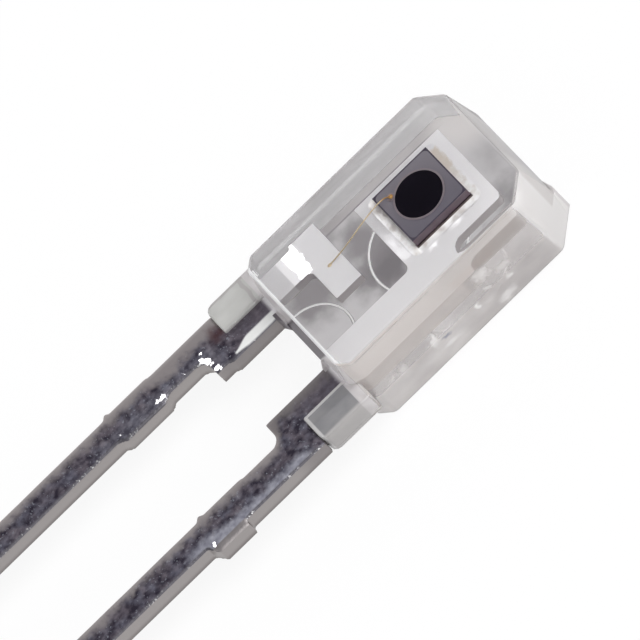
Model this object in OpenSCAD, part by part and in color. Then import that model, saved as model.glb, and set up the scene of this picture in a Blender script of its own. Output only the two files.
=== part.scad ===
// Clear side-looking photodiode: a drafted epoxy block moulded over a stamped
// lead frame that carries the light-sensitive chip and its bond wire.
// It lies on its back: the window looks along +Z, the leads leave along -Y,
// the anode is on the -X side, and the origin is the centre of the back face.

/* [Epoxy body] */
// Width of the body at the parting plane
body_w = 2.95; // [2.9:0.05:3.4]
// Height of the body at the parting plane, measured along the leads
body_h = 4.1; // [4:0.05:4.6]
// Depth of the front half, from the parting plane to the window face
front_d = 0.9; // [0.85:0.05:1.2]
// Depth of the back half, from the back face to the parting plane
back_d = 0.6; // [0.4:0.05:0.9]
// Draft angle of the front half, in degrees
front_draft = 8; // [2:0.5:10]
// Draft angle of the back half, in degrees
back_draft = 4; // [1:0.5:8]
// Leg of the cuts on the two upper corners
top_cut = 0.44; // [0.2:0.02:0.5]
// Leg of the cuts on the two lower corners
bottom_cut = 0.25; // [0.1:0.02:0.36]

/* [Moulding marks] */
// Radius of the ejector mark in the middle of the back face
mid_mark_r = 0.8; // [0.5:0.05:1]
// Height of that mark's centre above the middle of the back face
mid_mark_rise = 0.14; // [0:0.02:0.3]
// Radius of the ejector mark at the lower edge of the back face
low_mark_r = 0.63; // [0.4:0.05:0.65]
// Width of the groove that outlines each ejector mark
mark_groove_w = 0.05; // [0.03:0.01:0.08]
// Depth of the groove that outlines each ejector mark
mark_groove_d = 0.03; // [0.02:0.01:0.05]
// Length of the gate stub on the top of the back half
gate_w = 0.12; // [0.1:0.01:0.3]
// Height of the gate stub
gate_h = 0.05; // [0.03:0.01:0.08]

/* [Resin tabs beside the leads] */
// Width of the flash in the corner between a neck and the body
flash_w = 0.12; // [0.05:0.01:0.2]
// Height of that flash
flash_h = 0.06; // [0.03:0.01:0.1]
// Length of the tab beside the anode, below the body
anode_tab_len = 0.73; // [0.5:0.01:0.9]
// Length of the tab beside the cathode, below the body
cathode_tab_len = 0.76; // [0.5:0.01:0.9]
// How far a tab stands out beyond the outer edge of its lead
tab_out = 0.1; // [0.08:0.01:0.15]
// How far a tab laps over the face of its lead
tab_lap = 0.1; // [0.04:0.01:0.16]
// Thickness of resin that a tab has in front of and behind its lead
tab_skin = 0.07; // [0.04:0.01:0.12]
// Leg of the cut on a tab's outer lower corner
tab_cut = 0.11; // [0.05:0.01:0.2]

/* [Leads] */
// Distance between the centres of the two leads
lead_pitch = 2.54; // [2.5:0.02:2.6]
// Width of a lead
lead_w = 0.5; // [0.42:0.02:0.54]
// Thickness of the lead frame
lead_t = 0.3; // [0.2:0.02:0.36]
// Length of the anode lead below the body
anode_len = 18; // [8:0.5:25]
// Length of the cathode lead below the body
cathode_len = 17; // [8:0.5:25]
// Clear gap between the necks of the two leads
neck_gap = 1.24; // [1.1:0.02:1.3]
// Width of a neck, where the lead leaves the body
neck_w = 0.55; // [0.45:0.01:0.6]
// Distance from the body down to the end of the shoulder
shoulder_len = 1.22; // [1.1:0.02:1.6]
// Radius in the inner corner under a shoulder
shoulder_r = 0.18; // [0.08:0.02:0.3]
// How far the anode's neck narrows above its shoulder
neck_waist = 0.05; // [0.01:0.01:0.08]
// Distance from the body down to the cut-off tie bar
tie_drop = 1.95; // [1.8:0.05:3]
// Length of the cut-off tie bar, along the lead
tie_len = 1; // [0.6:0.05:1.4]
// How far the tie bar stands out on the anode's inner edge
tie_in = 0.08; // [0.04:0.01:0.15]
// How far the tie bar stands out on the two edges on the anode's side
tie_left = 0.03; // [0.02:0.01:0.15]
// How far the tie bar stands out on the cathode's outer edge
tie_right = 0.19; // [0.12:0.01:0.24]
// How far the cathode's outer edge stands out above its tie bar
upper_out = 0.1; // [0.02:0.01:0.12]
// How much lower the cathode's outer tie bar begins than the others
stub_drop = 0.4; // [0.2:0.01:0.45]
// How much lower the cathode's outer tie bar ends than the others
stub_more = 0.1; // [0.04:0.01:0.2]
// Slope of the tie bar's ends, measured along the lead
tie_slope = 0.12; // [0.04:0.01:0.2]
// Radius of the burr left at the lower end of each tie bar
burr_r = 0.05; // [0.03:0.01:0.07]
// Length of the pointed end of each lead
tip_len = 0.12; // [0.05:0.01:0.3]
// How far the pointed end narrows on each side
tip_in = 0.06; // [0.02:0.01:0.15]

/* [Pads inside the body] */
// Width of the die pad on the cathode
die_pad_w = 1.7; // [1.5:0.02:1.8]
// Height of the die pad
die_pad_h = 1.69; // [1.5:0.02:1.8]
// Resin above the die pad, up to the top of the body
die_pad_cover = 0.56; // [0.4:0.02:0.65]
// Distance from the middle of the part to the die pad's centre
die_pad_shift = -0.02; // [-0.05:0.005:0.08]
// How far the cathode's post rises beside the die pad, above the pad's lower edge
post_rise = 0.66; // [0.3:0.02:1]
// Height of the bond pad on the anode
bond_pad_h = 0.5; // [0.4:0.02:0.56]
// How far the bond pad reaches towards the cathode, beyond the anode's neck
bond_pad_reach = 0.7; // [0.5:0.02:0.9]
// How far the bond pad stands out beyond the neck's outer edge
bond_pad_step = 0.06; // [0.01:0.005:0.08]
// Gap between the die pad and the bond pad
pad_gap = 0.56; // [0.4:0.02:0.6]
// Radius in the inner corners of the pads
pad_r = 0.1; // [0.05:0.01:0.15]

/* [Chip] */
// Side of the square chip
chip_w = 1.08; // [0.9:0.02:1.2]
// Thickness of the chip
chip_t = 0.3; // [0.2:0.01:0.36]
// Distance of the chip's centre from the die pad's centre, towards the anode
chip_shift = 0.075; // [0:0.005:0.1]
// Diameter of the light-sensitive area
active_d = 0.77; // [0.6:0.01:0.8]
// Width of the metal contact ring around the light-sensitive area
contact_w = 0.03; // [0.015:0.005:0.05]
// Diameter of the metal spot that the wire is bonded to
contact_spot_d = 0.14; // [0.12:0.01:0.16]
// Thickness of the films on the chip
film_t = 0.012; // [0.01:0.001:0.02]
// Thickness of the silver paste under the chip
paste_t = 0.02; // [0.015:0.005:0.04]
// How far the silver paste spreads beyond the chip
paste_spread = 0.14; // [0.06:0.01:0.2]

/* [Bond wire] */
// Diameter of the wire
wire_d = 0.026; // [0.02:0.002:0.04]
// Diameter of the ball at the chip's end
ball_d = 0.1; // [0.07:0.01:0.11]
// Height of the ball
ball_h = 0.04; // [0.03:0.005:0.06]
// Straight rise of the wire above the ball
wire_rise = 0.03; // [0.01:0.005:0.06]
// Radius of the wire's bend above the ball
wire_bend_r = 0.07; // [0.05:0.005:0.09]
// Diameter of the flattened stitch on the bond pad
stitch_d = 0.075; // [0.05:0.005:0.1]

/* [Hidden] */
$fn = 48;

// Length that runs past a solid that it cuts, or into one that it joins
over = 0.2;
// Length that a rounded corner reaches into its sides
corner_lap = 0.02;

// Heights above the back face
body_d = back_d + front_d;
frame_z = back_d;
pad_z = frame_z + lead_t;
chip_z = pad_z + paste_t;
film_z = chip_z + chip_t;
ball_z = film_z + film_t;

// Edges of the body at the parting plane
body_top = body_h / 2;
body_low = -body_h / 2;
diagonal = (body_w + body_h) / 2;

// Edges of a lead, measured from the middle of the part
neck_in = neck_gap / 2;
neck_out = neck_in + neck_w;
shank_in = (lead_pitch - lead_w) / 2;
shank_out = (lead_pitch + lead_w) / 2;
shoulder_low = body_low - shoulder_len;
tie_top = body_low - tie_drop;
tie_low = tie_top - tie_len;

// Pads of the lead frame
die_pad_top = body_top - die_pad_cover;
die_pad_low = die_pad_top - die_pad_h;
die_pad_right = die_pad_shift + die_pad_w / 2;
bond_pad_top = die_pad_low - pad_gap;
bond_pad_low = bond_pad_top - bond_pad_h;
bond_pad_left = -neck_out - bond_pad_step;
bond_pad_right = -neck_in + bond_pad_reach;

// Middle of the chip and the two ends of the wire
chip_x = die_pad_shift - chip_shift;
chip_y = (die_pad_top + die_pad_low) / 2;
spot_offset = (active_d + contact_spot_d) / 2 * sqrt(1 / 2);
ball_x = chip_x - spot_offset;
ball_y = chip_y - spot_offset;
stitch_x = (bond_pad_left + bond_pad_right) / 2 + bond_pad_reach / 5;
stitch_y = (bond_pad_top + bond_pad_low) / 2;

// A slab along Y whose two sides have the moulding's draft above and below the parting plane
module drafted_slab(low, high) {
    front_in = front_d * tan(front_draft);
    back_in = back_d * tan(back_draft);
    rotate([90, 0, 0])
        linear_extrude(2 * (body_w + body_h), center = true)
            polygon([
                [low + back_in, 0],
                [high - back_in, 0],
                [high, back_d],
                [high - front_in, body_d],
                [low + front_in, body_d],
                [low, back_d]
            ]);
}

// The block: sides, ends and the four cut corners, each with its draft
module block() {
    cut_high = (diagonal - top_cut) * sqrt(1 / 2);
    cut_low = (diagonal - bottom_cut) * sqrt(1 / 2);
    intersection() {
        drafted_slab(-body_w / 2, body_w / 2);
        rotate(90)
            drafted_slab(body_low, body_top);
        rotate(45)
            drafted_slab(-cut_low, cut_high);
        rotate(135)
            drafted_slab(-cut_low, cut_high);
    }
}

// The low stub where the gate was broken off, beside the upper right cut
module gate_stub() {
    right = body_w / 2 - top_cut;
    slope = 8 * gate_h;
    linear_extrude(back_d)
        polygon([
            [right - gate_w - slope, body_top - over],
            [right - gate_w - slope, body_top - gate_h],
            [right - gate_w, body_top + gate_h],
            [right - gate_h, body_top + gate_h],
            [right, body_top],
            [right, body_top - over]
        ]);
}

// The groove that an ejector pin leaves around its end
module ejector_mark(r) {
    rotate_extrude()
        translate([r - mark_groove_w / 2, -over])
            square([mark_groove_w, over + mark_groove_d]);
}

// The resin that filled the notch between a lead and its tie bar, on the cathode's side
module resin_tab(reach) {
    inner = neck_out - tab_lap;
    outer = shank_out + tab_out;
    low = body_low - reach;
    translate([0, 0, frame_z - tab_skin])
        linear_extrude(lead_t + 2 * tab_skin)
            polygon([
                [inner, body_low + over],
                [inner, low],
                [outer - tab_cut, low],
                [outer, low + tab_cut],
                [outer, body_low - bottom_cut / 2],
                [body_w / 2 - bottom_cut, body_low + over]
            ]);
}

// The flash in the corner between a neck and the body, on the cathode's side
module flash() {
    translate([0, 0, frame_z])
        linear_extrude(lead_t)
            polygon([
                [neck_in - flash_w, body_low],
                [neck_in, body_low - flash_h],
                [neck_in + over, body_low - flash_h],
                [neck_in + over, body_low + over],
                [neck_in - flash_w, body_low + over]
            ]);
}

// Fills an inside corner at the origin, between +X and +Y, with a round of radius r
module corner_fill(r) {
    difference() {
        translate([-corner_lap, -corner_lap])
            square(r + corner_lap);
        translate([r, r])
            circle(r);
    }
}

// Outer edge of the anode below its tab, from the bottom up, drawn on the cathode's side
function anode_edge() = [
    [shank_out, tie_low],
    [shank_out + tie_left, tie_low + tie_slope],
    [shank_out + tie_left, tie_top - tie_slope],
    [shank_out, tie_top]
];

// Outer edge of the cathode below its tab, from the bottom up
function cathode_edge() = [
    [shank_out, tie_low - stub_more],
    [shank_out + tie_right, tie_low - stub_more + tie_slope],
    [shank_out + tie_right, tie_top - stub_drop],
    [shank_out + upper_out, tie_top - stub_drop],
    [shank_out + upper_out, tie_top]
];

// Outline of a lead from its neck to its tip, on the cathode's side
module shank_outline(reach, tab_len, top, waist, inner_out, outer_edge) {
    low = body_low - reach;
    tab_low = body_low - tab_len;
    upper_x = outer_edge[len(outer_edge) - 1][0];
    polygon(concat(
        [
            [neck_in, top],
            [neck_in, shoulder_low + 6 * neck_waist],
            [neck_in + waist, shoulder_low + 4 * neck_waist],
            [neck_in + waist, shoulder_low],
            [shank_in, shoulder_low],
            [shank_in, tie_top],
            [shank_in - inner_out, tie_top - tie_slope],
            [shank_in - inner_out, tie_low + tie_slope],
            [shank_in, tie_low],
            [shank_in, low + tip_len],
            [shank_in + tip_in, low],
            [shank_out - tip_in, low],
            [shank_out, low + tip_len]
        ],
        outer_edge,
        [
            [upper_x, tab_low],
            [neck_out, tab_low],
            [neck_out, top]
        ]
    ));
    translate([shank_in, shoulder_low])
        rotate(180)
            corner_fill(min(shoulder_r, (shank_in - neck_in - waist) * 0.9));
}

// The burr at the lower end of a tie bar
module burr(x) {
    translate([x, tie_low + tie_slope])
        circle(burr_r);
}

// Outline of the anode: its lead and the bond pad across its top
module anode_outline() {
    pad_mid = (bond_pad_top + bond_pad_low) / 2;
    mirror([1, 0]) {
        shank_outline(anode_len, anode_tab_len, pad_mid, neck_waist, tie_in, anode_edge());
        burr(shank_out + tie_left - burr_r / 5);
    }
    translate([bond_pad_left, bond_pad_low])
        square([bond_pad_right - bond_pad_left, bond_pad_h]);
    translate([-neck_in, bond_pad_low])
        rotate(-90)
            corner_fill(pad_r);
}

// Outline of the cathode: its lead, its post and the die pad
module cathode_outline() {
    post_top = die_pad_low + post_rise;
    side_r = min(2 * pad_r, (neck_out - die_pad_right) * 0.9);
    shank_outline(cathode_len, cathode_tab_len, post_top, 0, tie_left, cathode_edge());
    burr(shank_in - tie_left + burr_r / 5);
    difference() {
        translate([die_pad_right - die_pad_w, die_pad_low])
            square([die_pad_w, die_pad_h]);
        translate([die_pad_right, die_pad_top])
            rotate(180)
                corner_fill(pad_r);
    }
    translate([neck_in, die_pad_low])
        rotate(180)
            corner_fill(pad_r);
    translate([die_pad_right, post_top])
        corner_fill(side_r);
}

module anode_lead() {
    color("lightslategray")
        translate([0, 0, frame_z])
            linear_extrude(lead_t)
                anode_outline();
}

module cathode_lead() {
    color("slategray")
        translate([0, 0, frame_z])
            linear_extrude(lead_t)
                cathode_outline();
}

// The layer of paste that fixes the chip, squeezed out past its sides with round corners
module silver_paste() {
    side = chip_w + 2 * paste_spread;
    color("gainsboro")
        translate([chip_x, chip_y, pad_z])
            linear_extrude(paste_t)
                difference() {
                    square(side, center = true);
                    for (turn = [0:90:270])
                        rotate(turn)
                            translate([-side / 2, -side / 2])
                                corner_fill(paste_spread);
                }
}

module chip() {
    color("dimgray")
        translate([chip_x - chip_w / 2, chip_y - chip_w / 2, chip_z])
            cube([chip_w, chip_w, chip_t]);
}

// The dark coating over the light-sensitive area
module active_area() {
    color("midnightblue")
        translate([chip_x, chip_y, film_z])
            cylinder(film_t, d = active_d);
}

// Outline of all the films on the chip: the ring with what it surrounds, and the spot for the wire
module film_outline() {
    translate([chip_x, chip_y])
        circle(d = active_d + 2 * contact_w);
    translate([ball_x, ball_y])
        circle(d = contact_spot_d);
}

// The metal ring around the light-sensitive area, with the spot for the wire
module contact_ring() {
    color("rosybrown")
        translate([0, 0, film_z])
            linear_extrude(film_t)
                difference() {
                    film_outline();
                    translate([chip_x, chip_y])
                        circle(d = active_d);
                }
}

// The wire in the plane that holds its two ends: ball, rise, bend, straight run and flattened stitch
module bond_wire() {
    run = norm([stitch_x - ball_x, stitch_y - ball_y]);
    heading = atan2(stitch_y - ball_y, stitch_x - ball_x);
    bend_z = ball_z + ball_h + wire_rise;
    neck_r = wire_d * 2 / 3;
    neck_lap = wire_bend_r / 6;
    end_z = pad_z + wire_d / 2;
    to_end = [run - wire_bend_r, bend_z - end_z];
    fall = atan2(to_end[1], to_end[0]) + asin(wire_bend_r / norm(to_end));
    run_len = sqrt(norm(to_end) ^ 2 - wire_bend_r ^ 2);
    color("goldenrod")
        translate([ball_x, ball_y, 0])
            rotate(heading) {
                translate([0, 0, ball_z])
                    rotate_extrude()
                        polygon([
                            [0, 0],
                            [ball_d / 2, 0],
                            [ball_d / 2, ball_h * 2 / 3],
                            [neck_r, ball_h],
                            [neck_r, ball_h + wire_rise + neck_lap],
                            [0, ball_h + wire_rise + neck_lap]
                        ]);
                translate([wire_bend_r, 0, bend_z]) {
                    rotate([90, 0, 0])
                        rotate(90 - fall)
                            rotate_extrude(angle = 90 + fall)
                                translate([wire_bend_r, 0])
                                    circle(d = wire_d);
                    rotate([0, fall, 0])
                        translate([0, 0, wire_bend_r])
                            rotate([0, 90, 0])
                                cylinder(run_len, d = wire_d);
                }
                translate([run, 0, pad_z])
                    cylinder(wire_d / 2, d = stitch_d);
            }
}

// The clear moulding: block, gate stub, tabs and flash, formed round everything that it holds
module epoxy_body() {
    color("gainsboro", 0.4)
        difference() {
            union() {
                block();
                gate_stub();
                resin_tab(cathode_tab_len);
                flash();
                mirror([1, 0, 0]) {
                    resin_tab(anode_tab_len);
                    flash();
                }
            }
            translate([0, mid_mark_rise, 0])
                ejector_mark(mid_mark_r);
            translate([0, body_low + bottom_cut / 2, 0])
                ejector_mark(low_mark_r);
            anode_lead();
            cathode_lead();
            silver_paste();
            chip();
            translate([0, 0, film_z])
                linear_extrude(film_t)
                    film_outline();
            bond_wire();
        }
}

epoxy_body();
anode_lead();
cathode_lead();
silver_paste();
chip();
active_area();
contact_ring();
bond_wire();
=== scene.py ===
import math

import bmesh
import bpy
from mathutils import Matrix, Vector


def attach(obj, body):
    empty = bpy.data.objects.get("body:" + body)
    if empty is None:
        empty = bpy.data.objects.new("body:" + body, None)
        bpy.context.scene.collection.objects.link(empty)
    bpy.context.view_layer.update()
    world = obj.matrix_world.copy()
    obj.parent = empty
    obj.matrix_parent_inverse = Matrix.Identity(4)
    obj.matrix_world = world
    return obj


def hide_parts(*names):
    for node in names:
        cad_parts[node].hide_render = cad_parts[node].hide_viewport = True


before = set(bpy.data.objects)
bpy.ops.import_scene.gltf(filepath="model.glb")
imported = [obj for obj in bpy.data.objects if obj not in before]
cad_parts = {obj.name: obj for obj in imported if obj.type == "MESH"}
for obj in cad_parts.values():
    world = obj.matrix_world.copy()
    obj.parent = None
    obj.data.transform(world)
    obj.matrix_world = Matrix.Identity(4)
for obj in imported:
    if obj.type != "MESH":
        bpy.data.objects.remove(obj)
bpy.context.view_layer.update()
mm = 0.001  # the dictionaries below hold millimetres
mergeReach = 1e-7  # metres
bodyName = "root"
print("frame loaded:", len(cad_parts), "nodes")


# Small helpers for working by hand in edit mode

def pick(piece):
    bpy.ops.object.select_all(action="DESELECT")
    bpy.context.view_layer.objects.active = piece
    piece.select_set(True)


def edit(piece):
    pick(piece)
    bpy.ops.object.mode_set(mode="EDIT")
    bpy.ops.mesh.select_mode(type="VERT")
    bpy.ops.mesh.select_all(action="SELECT")


def leave():
    bpy.ops.object.mode_set(mode="OBJECT")


def selectEdges(piece, test):
    bpy.ops.mesh.select_mode(type="EDGE")
    bpy.ops.mesh.select_all(action="DESELECT")
    mesh = bmesh.from_edit_mesh(piece.data)
    for edge in mesh.edges:
        edge.select_set(test(edge))
    bmesh.update_edit_mesh(piece.data)


def addCube(name, low, high):
    bpy.ops.object.select_all(action="DESELECT")
    bpy.ops.mesh.primitive_cube_add(size=1)
    piece = bpy.context.object
    piece.name = name
    edit(piece)
    bpy.ops.transform.resize(value=[(b - a) * mm for a, b in zip(low, high)])
    bpy.ops.transform.translate(value=[(a + b) / 2 * mm for a, b in zip(low, high)])
    leave()
    return piece


def applyModifier(piece, kind, **settings):
    pick(piece)
    modifier = piece.modifiers.new(kind.title(), kind)
    for name, value in settings.items():
        setattr(modifier, name, value)
    bpy.ops.object.modifier_apply(modifier=modifier.name)


def combine(piece, other, operation):
    applyModifier(piece, "BOOLEAN", object=other, operation=operation, solver="EXACT")
    bpy.data.objects.remove(other)


def copyNode(nodeName, name):
    piece = bpy.data.objects.new(name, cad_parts[nodeName].data.copy())
    bpy.context.scene.collection.objects.link(piece)
    edit(piece)
    bpy.ops.mesh.remove_doubles(threshold=mergeReach)
    bpy.ops.mesh.dissolve_limited(angle_limit=math.radians(0.5))
    leave()
    return piece


def place(piece, nodeName, material):
    piece.data.materials.clear()
    piece.data.materials.append(material)
    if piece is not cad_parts[nodeName]:
        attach(piece, bodyName)
        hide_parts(nodeName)


# Small helpers for shader nodes; step, between and the masks built on them take millimetres

def addNode(tree, kind, inputs=None, **settings):
    node = tree.nodes.new("ShaderNode" + kind)
    for name, value in settings.items():
        setattr(node, name, value)
    for name, value in (inputs or {}).items():
        if isinstance(value, bpy.types.NodeSocket):
            tree.links.new(value, node.inputs[name])
        else:
            node.inputs[name].default_value = value
    return node


def newMaterial(name, **values):
    material = bpy.data.materials.new(name)
    material.use_nodes = True
    shader = material.node_tree.nodes["Principled BSDF"]
    for socket, value in values.items():
        shader.inputs[socket].default_value = value
    return material, material.node_tree, shader


def noiseMix(tree, coords, scale, low, high, detail=4.0, stretch=(1, 1, 1)):
    mapped = addNode(tree, "Mapping", {"Vector": coords, "Scale": stretch}).outputs["Vector"]
    noise = addNode(tree, "TexNoise", {"Vector": mapped, "Scale": scale, "Detail": detail}).outputs["Fac"]
    return addNode(tree, "MapRange", {"Value": noise, "From Min": low, "From Max": high}).outputs["Result"]


def ramp(tree, value, low, high):
    return addNode(tree, "MapRange", {"Value": value, "From Min": low, "From Max": high},
                   interpolation_type="SMOOTHSTEP").outputs["Result"]


def step(tree, value, low, high):
    return ramp(tree, value, low * mm, high * mm)


def blend(tree, share, first, second):
    if isinstance(first, tuple) or isinstance(second, tuple) or getattr(first, "type", "") == "RGBA":
        return addNode(tree, "Mix", {0: share, 6: first, 7: second}, data_type="RGBA").outputs[2]
    return addNode(tree, "Mix", {0: share, 2: first, 3: second}).outputs[0]


def layer(tree, base, layers):
    for share, value in layers:
        base = blend(tree, share, base, value)
    return base


def join(tree, operation, *values):
    result = values[0]
    for value in values[1:]:
        result = addNode(tree, "Math", {0: result, 1: value}, operation=operation).outputs[0]
    return result


def scaleAdd(tree, value, factor, more):
    return addNode(tree, "Math", {0: value, 1: factor, 2: more}, operation="MULTIPLY_ADD").outputs[0]


def invert(tree, share):
    return join(tree, "SUBTRACT", 1.0, share)


def between(tree, value, low, high, soft):
    return join(tree, "MULTIPLY", step(tree, value, low - soft, low), step(tree, value, high + soft, high))


def shifted(tree, value, noise, reach):
    return scaleAdd(tree, join(tree, "SUBTRACT", noise, 0.5), reach * mm, value)


def awayFrom(tree, coords, spot):
    return addNode(tree, "VectorMath", {0: coords, 1: Vector(spot) * mm}, operation="DISTANCE").outputs["Value"]


def warped(tree, coords, scale, detail, reach):
    noise = addNode(tree, "TexNoise", {"Vector": coords, "Scale": scale, "Detail": detail}).outputs["Color"]
    noise = addNode(tree, "VectorMath", {0: noise, 1: (0.5, 0.5, 0.5)}, operation="SUBTRACT").outputs[0]
    reach = Vector(reach) * mm
    return addNode(tree, "VectorMath", {0: noise, 1: reach, 2: coords}, operation="MULTIPLY_ADD").outputs[0]


def spotMask(tree, coords, spot, half, none=1.5, full=0.3):
    away = addNode(tree, "VectorMath", {0: coords, 1: Vector(spot) * mm}, operation="SUBTRACT").outputs[0]
    scale = [1 / (side * mm) if side else 0 for side in half]  # a half size of 0 leaves that axis out
    away = addNode(tree, "VectorMath", {0: away, 1: scale}, operation="MULTIPLY").outputs[0]
    away = addNode(tree, "VectorMath", {0: away}, operation="LENGTH").outputs["Value"]
    return ramp(tree, away, none, full)


def maskTools(tree, settings):
    def span(value, key):
        return step(tree, value, *settings["spans"][key])

    def band(value, key):
        return between(tree, value, *settings["bands"][key])

    def both(*shares):
        return join(tree, "MULTIPLY", *shares)

    def either(*shares):
        return join(tree, "MAXIMUM", *shares)

    return span, band, both, either


# Camera, from the long side of the leads

viewSet = {
    "turn": 38.1,  # degrees from the window's own direction towards +X
    "rise": 1.05,  # degrees towards the head
    "roll": 45.8,  # degrees, the leads run down to the left
    "aim": (-0.1625, -1.655, 0.758),
    "span": 9.26,  # width of the picture
    "lens": 800.0,
    "clip": (1, 10000),
}


def makeCamera():
    turn, rise, roll = (math.radians(viewSet[key]) for key in ("turn", "rise", "roll"))
    back = Vector((math.sin(turn) * math.cos(rise), math.sin(rise), math.cos(turn) * math.cos(rise)))
    side = Vector((0, 1, 0)).cross(back).normalized()
    head = back.cross(side)
    right = side * math.cos(roll) + head * math.sin(roll)
    up = head * math.cos(roll) - side * math.sin(roll)
    bpy.ops.object.camera_add()
    camera = bpy.context.object
    lens = camera.data
    lens.lens = viewSet["lens"]
    distance = viewSet["span"] * lens.lens / lens.sensor_width
    spot = Vector(viewSet["aim"]) + back * distance
    camera.matrix_world = Matrix.Translation(spot * mm) @ Matrix((right, up, back)).transposed().to_4x4()
    lens.clip_start, lens.clip_end = (end * mm for end in viewSet["clip"])
    bpy.context.scene.camera = camera


makeCamera()
print("camera set")


# Floor and light

studioSet = {
    "floorSide": 4000,
    "floorDrop": 0.01,
    "floorColor": (0.95, 0.95, 0.95, 1),
    "floorGlow": 0.88,  # share of the white that camera, glossy and transmission rays see
    "skyColor": (0.8, 0.8, 0.81, 1),
    "gapColor": (0.09, 0.08, 0.11, 1),
    "gapTurn": -25,  # degrees from straight up towards +X, where the dark gap in the light tent is
    "gapHalf": (0.27, 0.36),
    "gapLength": (0.5, 0.8),
    "keyFrom": (0.22, 0.5, 0.84),
    "keyDistance": 300,
    "keySize": 280,
    "keyWatts": 0.56,
}


def makeFloor():
    bpy.ops.object.select_all(action="DESELECT")
    bpy.ops.mesh.primitive_plane_add(size=studioSet["floorSide"] * mm,
                                     location=(0, 0, -studioSet["floorDrop"] * mm))
    floor = bpy.context.object
    floor.name = "floor"
    material, tree, shader = newMaterial("paleFloor", Roughness=0.9)
    shader.inputs["Base Color"].default_value = studioSet["floorColor"]
    shader.inputs["Specular IOR Level"].default_value = 0.0
    ray = addNode(tree, "LightPath").outputs
    seen = join(tree, "MAXIMUM", ray["Is Camera Ray"], ray["Is Glossy Ray"], ray["Is Transmission Ray"])
    share = join(tree, "MULTIPLY", seen, studioSet["floorGlow"])
    glow = addNode(tree, "Emission", {"Color": (1, 1, 1, 1), "Strength": 1.0})
    mixed = addNode(tree, "MixShader", {0: share, 1: shader.outputs[0], 2: glow.outputs[0]})
    tree.links.new(mixed.outputs[0], tree.nodes["Material Output"].inputs["Surface"])
    material.cycles.emission_sampling = "NONE"
    floor.data.materials.append(material)


def makeLight():
    toKey = Vector(studioSet["keyFrom"]).normalized()
    bpy.ops.object.light_add(type="AREA", location=toKey * studioSet["keyDistance"] * mm)
    key = bpy.context.object
    key.rotation_euler = toKey.to_track_quat("Z", "Y").to_euler()
    key.data.shape = "DISK"
    key.data.size = studioSet["keySize"] * mm
    key.data.energy = studioSet["keyWatts"]
    key.visible_camera = False

    world = bpy.data.worlds.new("studio")
    bpy.context.scene.world = world
    world.use_nodes = True
    tree = world.node_tree
    direction = addNode(tree, "TexCoord").outputs["Generated"]
    turn = math.radians(studioSet["gapTurn"])
    shares = []
    for axis, (full, none) in (((math.cos(turn), 0, -math.sin(turn)), studioSet["gapHalf"]),
                               ((0, 1, 0), studioSet["gapLength"])):
        away = addNode(tree, "VectorMath", {0: direction, 1: axis}, operation="DOT_PRODUCT").outputs["Value"]
        away = addNode(tree, "Math", {0: away}, operation="ABSOLUTE").outputs[0]
        shares.append(ramp(tree, away, none, full))
    above = addNode(tree, "SeparateXYZ", {0: direction}).outputs["Z"]
    above = addNode(tree, "Math", {0: above, 1: 0.0}, operation="GREATER_THAN").outputs[0]
    sky = blend(tree, join(tree, "MULTIPLY", *shares, above), studioSet["skyColor"], studioSet["gapColor"])
    tree.links.new(sky, tree.nodes["Background"].inputs["Color"])
    bpy.context.scene.view_settings.view_transform = "Standard"


makeFloor()
makeLight()
print("floor and light set")


# Clear moulding

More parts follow.
